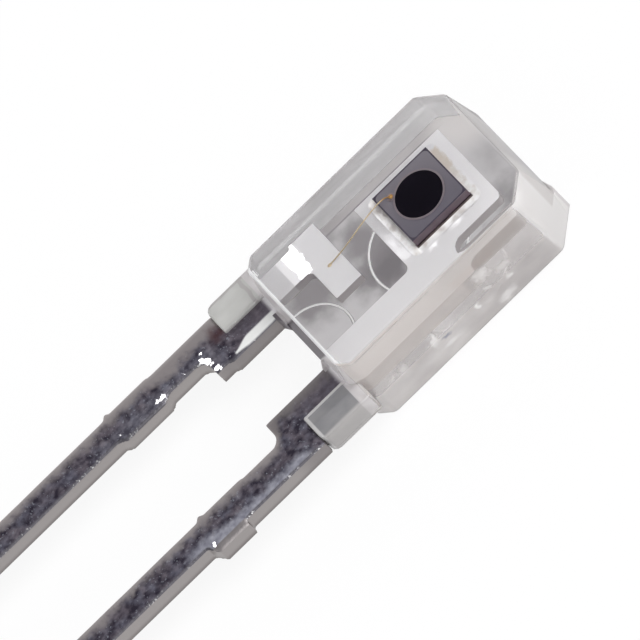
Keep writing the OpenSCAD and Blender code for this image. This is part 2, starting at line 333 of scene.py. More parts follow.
resinSet = {
    "width": 2.95,
    "height": 4.1,
    "frontDepth": 0.9,
    "backDepth": 0.6,
    "frontDraft": 8,
    "backDraft": 4,
    "topCut": 0.44,
    "lowCut": 0.25,
    "edgeRound": 0.06,
    "backRound": 0.012,
    "gateRound": 0.012,
    "smallRound": 0.03,
    "markWidth": 0.05,
    "marks": ((0.14, 0.8), (-1.925, 0.63)),  # height of centre, radius
    "tabs": (("anode", -1, 0.73), ("cathode", 1, 0.76)),  # side and length
    "tabInner": 1.07,
    "tabOuter": 1.62,
    "tabLow": 0.53,
    "tabHigh": 0.97,
    "tabCut": 0.13,
    "cornerReach": 0.01,
    "root": 0.2,  # of tabs and gate stub, into the body
    "gateWidth": 0.12,
    "gateRise": 0.05,
    "gateSlope": 0.4,
    "flashWidth": 0.12,
    "flashHeight": 0.06,
    "flashDepth": 0.3,
    "flashRoot": 0.1,
    "neckInner": 0.62,
    # shader values by place
    "rough": {"side": 0.32, "hazy": 0.34, "wall": 0.14, "cut": 0.45, "left": 0.65, "corner": 0.7, "leftSeam": 0.8,
              "frontRim": 0.45, "window": 0.02, "back": 0.4},
    "clear": {"cut": 0.55, "paleFleck": 0.1, "seam": 0.4, "leftSeam": 0.95, "corner": 0.9, "gate": 0.5, "low": 0.45,
              "below": 0.35, "window": 1.0, "line": 0.3, "back": 1.0},
    "sideClear": (0.83, 0.89),
    "hazyLess": 0.13,
    "shine": {"side": 0.5, "top": 0.2, "shadedUnderside": 0.0},
    # tints by place; many of them are painted light and shade, as noted below
    "plainTint": (1, 1, 1, 1),
    # painted shade on the back face: dark where the pads and chip would shadow it, deepest under the die pad, shaded
    # along the left rim, with a painted lighter patch at the top left
    "backShadow": (0.085, 0.075, 0.08, 1),
    "backLight": (0.36, 0.34, 0.35, 1),
    "backDeepShadow": (0.04, 0.034, 0.038, 1),
    "backRimShade": ((0.17, 0.15, 0.155, 1), (0.26, 0.235, 0.24, 1)),  # low and high
    "backLitPatch": (0.5, 0.46, 0.45, 1),
    "grooves": ((0.85, 0.84, 0.84, 1), (0.6, 0.58, 0.58, 1)),
    # painted light and shade on the clear tabs and flash: grey for what lies behind, darker on the right tab, painted
    # highlights along its borders, a darker edge on the left tab, the flash darker on the left
    "leftTabShade": ((0.62, 0.62, 0.595, 1), (0.7, 0.7, 0.675, 1)),
    "leftTabEdgeShade": (0.54, 0.52, 0.51, 1),
    "rightTabShade": ((0.3, 0.3, 0.31, 1), (0.37, 0.365, 0.37, 1)),
    "rightTabSideLight": (0.55, 0.53, 0.52, 1),
    "tabEdgeHighlight": (0.72, 0.71, 0.7, 1),
    "flashShade": ((0.2, 0.18, 0.2, 1), (0.6, 0.57, 0.57, 1)),  # left and right
    # painted shade on the underside, darkest between the leads
    "lowShade": (0.75, 0.72, 0.72, 1),
    "shadedUndersideTint": (0.09, 0.075, 0.09, 1),
    # painted shade on the top face, darker on the left
    "topShade": ((0.5, 0.47, 0.47, 1), (0.8, 0.77, 0.75, 1)),  # left and right
    "wallTint": ((0.88, 0.84, 0.81, 1), (0.78, 0.74, 0.72, 1)),
    "stripTint": ((0.74, 0.68, 0.635, 1), (0.65, 0.6, 0.56, 1)),  # low and high
    "cutTint": (1, 0.98, 0.96, 1),
    "gateTint": (0.82, 0.79, 0.78, 1),
    "fleckTint": (1, 1, 0.98, 1),
    "darkStreakTint": (0.3, 0.3, 0.38, 1),
    # painted image of the shaded notch, seen through the right wall
    "paintedNotchImage": (0.66, 0.58, 0.53, 1),
    "imageShare": 0.7,
    "seamShare": 0.12,
    "lowSlant": -0.7845,  # of the painted dark part of the underside, across per depth
    # noises: scale, low and high end, detail, stretch; and how far they move an edge
    "streaks": (2500, 0.3, 0.7, 2.0, (1, 0.15, 1)),
    "clouds": (2500, 0.3, 0.7),
    "mottle": (4200, 0.34, 0.66, 2.0, (1, 0.55, 1)),
    "warp": (9000, 1.0, (0, 0.18, 0.18)),  # scale, detail, reach
    "cloudReach": 0.35,
    "deepShift": 0.2,
    "imageShift": 0.2,
    "tabShift": (0.04, 0.05),  # across and along
    # where each mask starts and where it is full
    "spans": {
        "window": (-0.04, -0.01),  # from the window
        "back": (0.03, 0.005),
        "below": (0.005, -0.01),  # from the lower end
        "low": (0.16, 0.14),  # from the lower end
        "line": (0.21, 0.17),  # from the lower end
        "gate": (0.004, 0.012),  # from the upper end
        "top": (1.88, 1.92),
        "topAcross": (0.3, 0.7),
        "right": (1.1, 1.2),
        "left": (-1.3, -1.35),
        "middle": (-0.1, 0.1),
        "backCut": (2.97, 3.02),  # of x + y
        "frontCut": (3.1, 3.16),  # of x + y, leaning with the draft
        "corner": (2.75, 2.95),  # of y - x
        "frontWall": (0.58, 0.64),
        "frontRim": (1.42, 1.45),
        "strip": (1.0, 1.12),
        "stripEnd": (1.5, 1.3),
        "stripRise": (-0.5, 0.3),
        "tabs": (1.04, 1.06),
        "tabSide": (1.55, 1.6),
        "tabInner": (1.14, 1.12),
        "tabEnd": (0.07, 0.05),  # from the end of the right tab
        "backRimShade": (-1.29, -1.31),
        "backRimRise": (-0.7, 0.1),
        "backDeepShadow": (0.5, 0.1),  # from its place
        "backLitPatch": (0.75, 0.2),  # from its place
        "grooveTop": (0.045, 0.035),
        "grooveBase": (0.0006, 0.0015),
        "grooveEnd": (0.4, 0.3),
    },
    # low end, high end and softness
    "bands": {
        "low": (-0.9, -0.06, 0.02),  # from the window
        "line": (-0.07, -0.004, 0.004),  # from the window
        "top": (-0.9, -0.03, 0.02),  # from the window
        "shadedUnderside": (-1.1, -0.24, 0.06),
        "leftSeam": (0.56, 0.64, 0.12),
        "rightSeam": (0.59, 0.61, 0.012),
        "leftTabSide": (-1.6, -1.57, 0.02),
        "leftTabTop": (-0.1, -0.06, 0.02),  # from the lower end
        "imageDepth": (1.08, 1.21, 0.03),
        "imageRise": (0.14, 0.75, 0.12),
        "backRimShade": (-1.29, -1.27, 0.015),
        "groove": (-0.03, 0.03, 0.004),  # from the ring
    },
    "backDeepShadowAt": (-0.05, -0.36, 0),
    "backLitPatchAt": (-1.15, 1.85, 0),
    # place, radius of the core and reach of each painted shadow on the back
    "backShadowAt": ((-0.2, -0.4, 0.45, 0.95), (-0.75, -0.4, 0.3, 0.9), (-0.75, -1.45, 0.45, 1.0),
                   (0.7, 1.72, 0.25, 1.0), (-0.2, 1.75, -0.6, 0.9), (0.6, 1.0, 0.0, 0.36), (0.6, 0.6, 0.0, 0.36),
                   (-1.3, -1.0, 0.1, 0.9)),
    # height, depth, half sizes along both and strength of the pale flecks on the right side
    "paleFlecks": ((0.79, 0.5, 0.08, 0.06, 0.65), (0.56, 0.19, 0.16, 0.12, 0.5), (0.475, 0.936, 0.12, 0.12, 0.42),
               (0.14, 0.516, 0.05, 0.06, 0.8), (-0.48, 0.3, 0.18, 0.05, 0.45), (-0.667, 0.62, 0.06, 0.12, 0.5),
               (0.79, 0.767, 0.13, 0.07, 0.2), (-1.265, 0.62, 0.08, 0.14, 0.2), (0.41, 0.65, 0.05, 0.06, 0.3),
               (0.2, 0.35, 0.2, 0.12, 0.16), (-0.9, 0.35, 0.2, 0.1, 0.2)),
    "darkStreak": ((0, -0.49, 0.516), (0, 0.11, 0.035)),
}


def draftPlanes():
    width, height = resinSet["width"], resinSet["height"]
    diagonal = (width + height) / 2
    reach = {0: width / 2, 90: height / 2, 180: width / 2, 270: height / 2}
    for angle, cut in ((45, "topCut"), (135, "topCut"), (225, "lowCut"), (315, "lowCut")):
        reach[angle] = (diagonal - resinSet[cut]) * math.sqrt(0.5)
    for angle, away in reach.items():
        flat = Vector((math.cos(math.radians(angle)), math.sin(math.radians(angle)), 0))
        spot = flat * away + Vector((0, 0, resinSet["backDepth"]))
        for draft, lift in ((resinSet["frontDraft"], 1), (resinSet["backDraft"], -1)):
            tilt = math.radians(draft)
            yield spot, flat * math.cos(tilt) + Vector((0, 0, lift * math.sin(tilt)))


def cutAway(piece, spot, normal):
    edit(piece)
    bpy.ops.mesh.bisect(plane_co=Vector(spot) * mm, plane_no=Vector(normal).normalized(), use_fill=True,
                        clear_outer=True, threshold=mergeReach)
    leave()


def roundEdges(piece, width, lowestAngle, above=-1):
    edit(piece)
    selectEdges(piece, lambda edge: edge.calc_face_angle(0) > math.radians(lowestAngle)
                and max(vertex.co.z for vertex in edge.verts) > above * mm)
    bpy.ops.mesh.bevel(offset=width * mm, segments=4, affect="EDGES", clamp_overlap=True)
    leave()


def makeTab(name, side, length):
    low = -resinSet["height"] / 2 - length
    high = -resinSet["height"] / 2 + resinSet["root"]
    inner, outer = sorted((side * resinSet["tabInner"], side * resinSet["tabOuter"]))
    tab = addCube(name, (inner, low, resinSet["tabLow"]), (outer, high, resinSet["tabHigh"]))
    edit(tab)
    corner, reach = Vector((side * resinSet["tabOuter"], low)), resinSet["cornerReach"]
    selectEdges(tab, lambda edge: all((v.co.xy / mm - corner).length < reach for v in edge.verts))
    bpy.ops.mesh.bevel(offset=resinSet["tabCut"] * mm, segments=3, affect="EDGES")
    leave()
    roundEdges(tab, resinSet["smallRound"], lowestAngle=50)
    return tab


def makeGate():
    right = resinSet["width"] / 2 - resinSet["topCut"]
    top = resinSet["height"] / 2
    rise, slope = resinSet["gateRise"], resinSet["gateSlope"]
    left = right - resinSet["gateWidth"]
    gate = addCube("gateStub", (left - slope, top - resinSet["root"], 0),
                   (right, top + rise, resinSet["backDepth"]))
    cutAway(gate, (left, top + rise, 0), (-2 * rise, slope, 0))
    draft = math.radians(resinSet["backDraft"])
    cutAway(gate, (right, top, resinSet["backDepth"]), (math.sqrt(0.5), math.sqrt(0.5), -math.tan(draft)))
    roundEdges(gate, resinSet["gateRound"], lowestAngle=20)
    return gate


def makeFlash(side):
    low = -resinSet["height"] / 2
    inner = side * (resinSet["neckInner"] - resinSet["flashWidth"])
    ends = sorted((inner, side * (resinSet["neckInner"] + resinSet["flashRoot"])))
    flash = addCube("flash", (ends[0], low - resinSet["flashHeight"], resinSet["backDepth"]),
                    (ends[1], low + resinSet["flashRoot"], resinSet["backDepth"] + resinSet["flashDepth"]))
    cutAway(flash, (inner, low, 0), (-side * resinSet["flashHeight"], -resinSet["flashWidth"], 0))
    return flash


def makeResin():
    depth = resinSet["frontDepth"] + resinSet["backDepth"]
    half = max(resinSet["width"], resinSet["height"])
    resin = addCube("clearBody", (-half, -half, 0), (half, half, depth))
    for spot, normal in draftPlanes():
        cutAway(resin, spot, normal)
    roundEdges(resin, resinSet["edgeRound"], lowestAngle=25, above=0.01)
    roundEdges(resin, resinSet["backRound"], lowestAngle=50)
    for name, side, length in resinSet["tabs"]:
        combine(resin, makeTab(name + "Tab", side, length), "UNION")
        combine(resin, makeFlash(side), "UNION")
    combine(resin, makeGate(), "UNION")
    for rise, radius in resinSet["marks"]:
        bpy.ops.object.select_all(action="DESELECT")
        bpy.ops.mesh.primitive_torus_add(major_radius=radius * mm, minor_radius=resinSet["markWidth"] / 2 * mm,
                                         major_segments=128, minor_segments=16, location=(0, rise * mm, 0))
        combine(resin, bpy.context.object, "DIFFERENCE")
    pick(resin)
    bpy.ops.object.shade_smooth_by_angle(angle=math.radians(32))
    applyModifier(resin, "WEIGHTED_NORMAL", keep_sharp=True, weight=80)
    return resin


# Painted shade on the back face, seen through the window: dark where the lead frame would shadow it, lighter around
def paintedBackShade(tree, coords, cloudy):
    span, band = maskTools(tree, resinSet)[:2]
    x, y = addNode(tree, "SeparateXYZ", {0: coords}).outputs[:2]
    shares = []
    for darkX, darkY, core, reach in resinSet["backShadowAt"]:
        away = awayFrom(tree, coords, (darkX, darkY, 0))
        shares.append(step(tree, scaleAdd(tree, cloudy, resinSet["cloudReach"] * mm, away), core, reach))
    light = join(tree, "MINIMUM", *shares)
    fromDeep = shifted(tree, awayFrom(tree, coords, resinSet["backDeepShadowAt"]), cloudy, resinSet["deepShift"])
    fromPale = awayFrom(tree, coords, resinSet["backLitPatchAt"])
    return layer(tree, blend(tree, light, resinSet["backShadow"], resinSet["backLight"]), (
        (span(fromDeep, "backDeepShadow"), resinSet["backDeepShadow"]),
        (band(x, "backRimShade"), resinSet["backShadow"]),
        (span(x, "backRimShade"), blend(tree, span(y, "backRimRise"), *resinSet["backRimShade"])),
        (span(fromPale, "backLitPatch"), resinSet["backLitPatch"]),
    ))


def resinMaterial():
    material, tree, shader = newMaterial("clearEpoxy", IOR=1.5)
    span, band, both, either = maskTools(tree, resinSet)
    rough, clear, shine = resinSet["rough"], resinSet["clear"], resinSet["shine"]
    coords = addNode(tree, "TexCoord").outputs["Object"]
    x, y, z = addNode(tree, "SeparateXYZ", {0: coords}).outputs
    aside = addNode(tree, "Math", {0: x}, operation="ABSOLUTE").outputs[0]
    depth = resinSet["frontDepth"] + resinSet["backDepth"]
    halfHeight = resinSet["height"] / 2
    fromWindow = join(tree, "SUBTRACT", z, depth * mm)
    fromTop = join(tree, "SUBTRACT", y, halfHeight * mm)
    fromLow = join(tree, "ADD", y, halfHeight * mm)
    fromTabEnd = join(tree, "ADD", fromLow, resinSet["tabs"][1][2] * mm)
    across = join(tree, "ADD", x, y)
    leaning = scaleAdd(tree, z, math.tan(math.radians(resinSet["frontDraft"])) * math.sqrt(2), across)
    slanted = scaleAdd(tree, z, resinSet["lowSlant"], x)
    streaks, cloudy, mottle = (noiseMix(tree, coords, *resinSet[key]) for key in ("streaks", "clouds", "mottle"))
    warp = warped(tree, coords, *resinSet["warp"])

    onWindow = span(fromWindow, "window")
    onBack = span(z, "back")
    below = span(fromLow, "below")
    onTab = both(below, span(aside, "tabs"))
    onFlash = join(tree, "SUBTRACT", below, onTab)
    # painted shade on the underside, darkest between the leads
    onLow = both(span(fromLow, "low"), band(fromWindow, "low"))
    shadedUnderside = both(onLow, band(slanted, "shadedUnderside"))
    # painted highlight: the lower rim of the window turned mostly opaque white
    lowRimHighlight = both(span(fromLow, "line"), band(fromWindow, "line"))
    onTop = both(span(y, "top"), band(fromWindow, "top"))
    onGate = span(fromTop, "gate")
    onRight = span(x, "right")
    onLeft = span(x, "left")
    toRight = span(x, "middle")
    leftSeam = both(band(z, "leftSeam"), onLeft)
    rightSeam = both(band(z, "rightSeam"), onRight, resinSet["seamShare"])
    rightCut = either(span(across, "backCut"), span(leaning, "frontCut"))
    hazy = either(onRight, rightCut)
    corner = span(join(tree, "SUBTRACT", y, x), "corner")
    paleFlecks = []
    for fleckY, fleckZ, halfY, halfZ, strength in resinSet["paleFlecks"]:
        paleFlecks.append(both(spotMask(tree, warp, (0, fleckY, fleckZ), (0, halfY, halfZ)), strength))
    flecked = both(either(*paleFlecks), onRight)
    darkStreak = both(spotMask(tree, warp, *resinSet["darkStreak"]), onRight)
    onGroove = []
    for rise, radius in resinSet["marks"]:
        fromRing = join(tree, "SUBTRACT", awayFrom(tree, coords, (0, rise, 0)), radius * mm)
        onGroove.append(both(band(fromRing, "groove"), span(z, "grooveTop"), span(z, "grooveBase")))
    onGroove[0] = both(onGroove[0], span(y, "grooveEnd"))

    specular = layer(tree, shine["side"], ((onTop, shine["top"]), (shadedUnderside, shine["shadedUnderside"])))
    tree.links.new(specular, shader.inputs["Specular IOR Level"])
    roughness = layer(tree, rough["side"], (
        (hazy, rough["hazy"]),
        (both(onRight, span(z, "frontWall")), rough["wall"]),
        (rightCut, rough["cut"]),
        (onLeft, rough["left"]),
        (corner, rough["corner"]),
        (leftSeam, rough["leftSeam"]),
        (both(onRight, span(z, "frontRim")), rough["frontRim"]),
        (onWindow, rough["window"]),
        (onBack, rough["back"]),
    ))
    tree.links.new(roughness, shader.inputs["Roughness"])
    clearness = join(tree, "SUBTRACT", blend(tree, streaks, *resinSet["sideClear"]), both(hazy, resinSet["hazyLess"]))
    clearness = layer(tree, clearness, (
        (rightCut, clear["cut"]),
        (flecked, clear["paleFleck"]),
        (rightSeam, clear["seam"]),
        (leftSeam, clear["leftSeam"]),
        (corner, clear["corner"]),
        (onGate, clear["gate"]),
        (onLow, clear["low"]),
        (below, clear["below"]),
        (onWindow, clear["window"]),
        (lowRimHighlight, clear["line"]),
        (onBack, clear["back"]),
    ))
    tree.links.new(clearness, shader.inputs["Transmission Weight"])

    # painted shade on the tabs, with painted highlights along the right tab's borders and a darker edge on the left tab
    rightTabShade = layer(tree, blend(tree, mottle, *resinSet["rightTabShade"]), (
        (span(x, "tabSide"), resinSet["rightTabSideLight"]),
        (either(span(x, "tabInner"), span(fromTabEnd, "tabEnd")), resinSet["tabEdgeHighlight"]),
    ))
    shiftAcross, shiftAlong = resinSet["tabShift"]
    leftEdge = either(band(shifted(tree, x, mottle, shiftAcross), "leftTabSide"),
                      band(shifted(tree, fromLow, mottle, shiftAlong), "leftTabTop"))
    leftTabShade = blend(tree, leftEdge, blend(tree, mottle, *resinSet["leftTabShade"]), resinSet["leftTabEdgeShade"])
    strip = both(onRight, span(z, "strip"), span(y, "stripEnd"))
    # painted image of the shaded notch behind the right wall
    imageRise = band(shifted(tree, y, mottle, resinSet["imageShift"]), "imageRise")
    image = both(onRight, band(z, "imageDepth"), imageRise, resinSet["imageShare"])
    wallTint = layer(tree, blend(tree, mottle, *resinSet["wallTint"]), (
        (strip, blend(tree, span(y, "stripRise"), *resinSet["stripTint"])),
        (image, resinSet["paintedNotchImage"]),
        (flecked, resinSet["fleckTint"]),
        (darkStreak, resinSet["darkStreakTint"]),
    ))
    # plain tint of the resin, with painted light and shade laid over it by place
    tintAndPaintedLight = layer(tree, resinSet["plainTint"], (
        (both(onRight, invert(tree, onWindow)), wallTint),
        (rightCut, resinSet["cutTint"]),
        (onLow, resinSet["lowShade"]),
        (shadedUnderside, resinSet["shadedUndersideTint"]),
        (onTop, blend(tree, span(x, "topAcross"), *resinSet["topShade"])),
        (onGate, resinSet["gateTint"]),
        (onTab, blend(tree, toRight, leftTabShade, rightTabShade)),
        (onFlash, blend(tree, toRight, *resinSet["flashShade"])),
        (onBack, paintedBackShade(tree, coords, cloudy)),
        *zip(onGroove, resinSet["grooves"]),
    ))
    tree.links.new(tintAndPaintedLight, shader.inputs["Base Color"])
    return material


place(makeResin(), "epoxy_body", resinMaterial())
print("clear body done")


# Lead frame

leadSet = {
    "voxel": 0.024,
    "crownSteps": 50,
    "crownFade": 0.15,  # half the length over which the crown ends at the body
    "crownLeast": 0.08,  # share of the crown that stays inside the body
    "lumpSize": 0.5,
    "lumpHeight": 0.006,
    "middle": 0.75,
    "bodyEnd": -2.05,
    "shoulder": -3.27,
    "leftEdges": (-1.52, 1.02, 0.62),  # anode, cathode and the cathode's neck
    "rightEdges": (-1.02, 1.62, 1.52),  # anode, cathode above and below its tie bar
    # colours by place
    # the fronts' colours hold painted reflections: a pale band along the left edge, dark in the middle on top of the
    # real reflection of the dark gap, and a bluish sheen along the right edge
    "pale": (0.43, 0.395, 0.39, 1),
    "paleNeck": (0.28, 0.258, 0.255, 1),  # of the cathode
    "dark": (0.062, 0.053, 0.075, 1),
    "dullWarm": (0.31, 0.275, 0.31, 1),
    "dullCool": (0.27, 0.267, 0.325, 1),
    "fleck": (0.55, 0.58, 0.64, 1),
    "blueEdgeSheen": ((0.42, 0.425, 0.5, 1), (0.74, 0.755, 0.82, 1)),
    # the necks darker towards the body
    "neckDarkening": (0.24, 0.212, 0.24, 1),
    # darkened rounded edges, with light dots that stand in for sparkles, painted highlights
    "edge": ((0.13, 0.125, 0.14, 1), (0.6, 0.6, 0.6, 1)),
    "rust": (0.13, 0.065, 0.07, 1),
    "side": (0.345, 0.322, 0.318, 1),
    "sideNeck": (0.27, 0.25, 0.25, 1),
    "sideLow": (0.2, 0.182, 0.178, 1),
    # painted highlight along the anode's neck
    "highlightStreak": (0.82, 0.83, 0.81, 1),
    "silver": (1.0, 0.99, 1.0, 1),
    # painted shade on the side faces of the pads inside the body, deeper on the hidden ones
    "padSideShade": (0.6, 0.57, 0.58, 1),
    "postSideShade": (0.8, 0.76, 0.75, 1),
    "underPad": (0.8, 0.79, 0.8, 1),
    # shader values by place
    "rough": {"side": 0.4, "front": 0.42, "pale": 0.5, "glint": 0.3, "pad": 0.5, "coin": 0.3},
    "metal": {"pad": 0.15, "coinLight": 0.45, "spill": (0.6, 1.0), "coin": 1.0, "padSideShade": 0.0},
    "bump": {"front": 0.7, "pale": 0.25, "plain": 0.15},
    "bumpHeight": 0.004,
    "fineShare": 0.5,  # of the fine noise in the bumps
    "padNormal": (0.285, 0.176, 0.942),
    "glintNormal": (0.44, 0.27, 0.855),
    # shares of the lighter or darker layers
    "blueShare": (0.2, 0.95),  # anode and cathode
    "fleckShare": 0.7,
    "neckDarkeningShare": 0.6,
    "rustShare": 0.8,
    # noises: scale, low and high end, detail, stretch
    "coarse": (5000, 0.25, 0.75, 3.0),
    "fine": (17000, 0.25, 0.75, 4.0),
    "tone": (3500, 0.4, 0.6, 2.0),
    "flecks": (24000, 0.63, 0.72, 2.0),
    "sparkleDots": (26000, 0.56, 0.66, 2.0),
    "sparklePatches": (2600, 0.48, 0.62, 1.0),
    "mottle": (9000, 0.36, 0.68, 6.0, (1, 0.8, 1)),
    "warp": (14000, 3.0, (0.16, 0.16, 0)),  # scale, detail, reach
    # how far the coarse noise moves an edge, and the fine one all of them
    "paleShift": 0.18,
    "blueShift": 0.1,
    "rustShift": 0.2,
    "coinShift": 0.06,
    "fineShift": 0.05,
    "paleWider": 0.13,
    # where each mask starts and where it is full
    "frontFacing": (0.55, 0.85),
    "edgeLeaning": (0.12, 0.3),
    "edgeFacing": (0.35, 0.6),
    "spans": {
        "inside": (-0.06, 0.06),  # from the body's end
        "neck": (-0.2, 0.25),  # from the shoulder
        "cathode": (-0.1, 0.1),
        "bondPad": (-0.58, -0.64),
        "pale": (0.25, 0.03),  # from the left edge
        "paleWider": (-4.5, -3.6),
        "blue": (0.24, 0.08),  # from the right edge
        "aboveTie": (-4.9, -4.3),
        "neckDarkeningRise": (-2.95, -2.5),
        "rust": (0.24, 0.04),  # from its place
        "sideHigh": (0.6, 0.72),
        "tie": (1.57, 1.6),
        "hiddenAcross": (0.35, 0.25),
        "hiddenRise": (0.15, 0.25),
        "under": (-1.56, -1.59),
        "streakEdge": (-0.02, 0.02),
        "streakDown": (-2.55, -2.88),
    },
    # low end, high end and softness
    "bands": {
        "blue": (-5.2, -3.2, 0.3),
        "tie": (-5.3, -4.4, 0.02),
        "highlightStreak": (-2.85, -2.01, 0.04),
        "coin": (-1.44, -1.2, 0.02),
        "coinLight": (-1.56, -1.2, 0.03),
    },
    "streakAcross": (-0.803, -0.645),
    "streakTip": (-0.71, -0.675),
    "rustAt": (-1.19, -2.85, 0.9),
    # place and radius
    "glints": ((-1.14, -3.235, 0.03), (-1.045, -3.3, 0.045), (-0.965, -3.25, 0.05), (-0.86, -3.23, 0.025),
               (-0.76, -3.22, 0.03), (-0.7, -3.17, 0.03), (-1.075, -4.06, 0.035), (-1.068, -4.12, 0.03),
               (-1.07, -4.18, 0.03), (-1.1, -3.64, 0.01), (1.528, -4.964, 0.03), (-1.085, -4.9, 0.018)),
    "glintHeight": 0.88,
    "glintEdge": (0.02, -0.01),  # start and full, from the radius
    # place and half sizes of the splashes of paste on the die pad
    "spills": (((0.08, -0.1), (0.22, 0.09)), ((0.3, -0.09), (0.18, 0.12)),
               ((0.6, 0.75), (0.055, 0.12)), ((0.6, 0.27), (0.055, 0.1))),
}


# mask of the painted highlight streak on the anode's neck
def highlightStreakMask(tree, x, y):
    span, band, both = maskTools(tree, leadSet)[:3]
    down = span(y, "streakDown")
    left, right = (blend(tree, down, top * mm, low * mm)
                   for top, low in zip(leadSet["streakAcross"], leadSet["streakTip"]))
    return both(span(join(tree, "SUBTRACT", x, left), "streakEdge"),
                span(join(tree, "SUBTRACT", right, x), "streakEdge"), band(y, "highlightStreak"))


def leadMaterial():
    material, tree, shader = newMaterial("tinnedLead")
    span, band, both, either = maskTools(tree, leadSet)
    rough, metal, bump = leadSet["rough"], leadSet["metal"], leadSet["bump"]
    coords = addNode(tree, "TexCoord").outputs["Object"]
    x, y, z = addNode(tree, "SeparateXYZ", {0: coords}).outputs
    facing = addNode(tree, "SeparateXYZ", {0: addNode(tree, "NewGeometry").outputs["Normal"]}).outputs
    coarse, fine, tone, flecks, sparkleDots, sparklePatches, mottle = (
        noiseMix(tree, coords, *leadSet[key])
        for key in ("coarse", "fine", "tone", "flecks", "sparkleDots", "sparklePatches", "mottle"))
    warp = warped(tree, coords, *leadSet["warp"])

    def loosened(value, reach):
        return shifted(tree, shifted(tree, value, coarse, reach), fine, leadSet["fineShift"])

    front = ramp(tree, facing["Z"], *leadSet["frontFacing"])
    # rounded edges darkened, with painted sparkles
    sparkleEdge = both(ramp(tree, facing["X"], *leadSet["edgeLeaning"]), ramp(tree, facing["Z"], *leadSet["edgeFacing"]))
    inside = span(join(tree, "SUBTRACT", y, leadSet["bodyEnd"] * mm), "inside")
    onNeck = span(join(tree, "SUBTRACT", y, leadSet["shoulder"] * mm), "neck")
    onCathode = span(x, "cathode")
    onBondPad = span(x, "bondPad")
    anode, cathode, neck = (value * mm for value in leadSet["leftEdges"])
    leftEdge = blend(tree, onCathode, anode, blend(tree, onNeck, cathode, neck))
    # painted reflections on the front: the pale band from the left edge, the bluish sheen from the right one
    fromLeft = loosened(join(tree, "SUBTRACT", x, leftEdge), leadSet["paleShift"])
    wider = both(span(y, "paleWider"), invert(tree, onCathode), leadSet["paleWider"] * mm)
    pale = span(join(tree, "SUBTRACT", fromLeft, wider), "pale")
    anode, upper, lower = (value * mm for value in leadSet["rightEdges"])
    rightEdge = blend(tree, onCathode, anode, blend(tree, span(y, "aboveTie"), lower, upper))
    fromRight = loosened(join(tree, "SUBTRACT", rightEdge, x), leadSet["blueShift"])
    blue = both(span(fromRight, "blue"), band(y, "blue"), blend(tree, onCathode, *leadSet["blueShare"]))
    fromRust = shifted(tree, awayFrom(tree, coords, leadSet["rustAt"]), coarse, leadSet["rustShift"])
    onTie = both(span(x, "tie"), band(y, "tie"), front)
    # painted highlight streak on the anode's neck
    highlightStreak = both(highlightStreakMask(tree, x, y), front)
    glints = []
    for glintX, glintY, size in leadSet["glints"]:
        away = awayFrom(tree, warp, (glintX, glintY, leadSet["glintHeight"]))
        glints.append(step(tree, away, *(size + edge for edge in leadSet["glintEdge"])))
    glint = either(*glints)
    onPad = both(inside, front)
    # painted shade on the pads' side faces inside the body, deeper on the hidden ones
    padSideShade = both(inside, invert(tree, front))
    spill = both(either(*(spotMask(tree, warp, (*spot, 0), (*half, 0)) for spot, half in leadSet["spills"])), onPad)
    ripple = loosened(y, leadSet["coinShift"])
    coin = both(band(ripple, "coin"), onBondPad, front)
    coinLight = both(band(ripple, "coinLight"), onBondPad, front)
    deepShadeSides = both(either(span(x, "hiddenAcross"), span(y, "hiddenRise")), padSideShade)
    under = both(span(y, "under"), onBondPad, inside)

    dull = blend(tree, tone, leadSet["dullWarm"], leadSet["dullCool"])
    frontColor = layer(tree, blend(tree, mottle, leadSet["dark"], dull), (
        (both(flecks, leadSet["fleckShare"]), leadSet["fleck"]),
        (both(span(y, "neckDarkeningRise"), leadSet["neckDarkeningShare"]), leadSet["neckDarkening"]),
        (blue, blend(tree, mottle, *leadSet["blueEdgeSheen"])),
        (pale, blend(tree, both(onCathode, onNeck), leadSet["pale"], leadSet["paleNeck"])),
        (both(span(fromRust, "rust"), leadSet["rustShare"]), leadSet["rust"]),
    ))
    sideColor = blend(tree, span(z, "sideHigh"), leadSet["sideLow"],
                      blend(tree, onNeck, leadSet["side"], leadSet["sideNeck"]))
    color = layer(tree, sideColor, (
        (front, frontColor),
        (sparkleEdge, blend(tree, both(sparkleDots, sparklePatches), *leadSet["edge"])),
        (onTie, leadSet["side"]),
        (highlightStreak, leadSet["highlightStreak"]),
        (either(inside, glint), leadSet["silver"]),
        (padSideShade, leadSet["postSideShade"]),
        (deepShadeSides, leadSet["padSideShade"]),
        (under, leadSet["underPad"]),
    ))
    tree.links.new(color, shader.inputs["Base Color"])
    roughness = layer(tree, rough["side"], (
        (front, blend(tree, either(pale, onTie), rough["front"], rough["pale"])),
        (glint, rough["glint"]),
        (inside, blend(tree, coin, rough["pad"], rough["coin"])),
    ))
    tree.links.new(roughness, shader.inputs["Roughness"])
    padMetal = layer(tree, metal["pad"], (
        (coinLight, metal["coinLight"]),
        (spill, blend(tree, mottle, *metal["spill"])),
        (coin, metal["coin"]),
        (padSideShade, metal["padSideShade"]),
    ))
    tree.links.new(blend(tree, inside, invert(tree, highlightStreak), padMetal), shader.inputs["Metallic"])

    strength = layer(tree, bump["plain"], (
        (front, blend(tree, pale, bump["front"], bump["pale"])),
        (inside, bump["plain"]),
    ))
    normal = addNode(tree, "Bump", {"Strength": strength, "Distance": leadSet["bumpHeight"] * mm,
                                    "Height": scaleAdd(tree, fine, leadSet["fineShare"], mottle)}).outputs["Normal"]
    for share, key in ((onPad, "padNormal"), (spill, "padNormal"), (glint, "glintNormal"), (coin, "padNormal")):
        normal = addNode(tree, "Mix", {0: share, 4: normal, 5: leadSet[key]}, data_type="VECTOR").outputs[1]
    tree.links.new(normal, shader.inputs["Normal"])
    return material


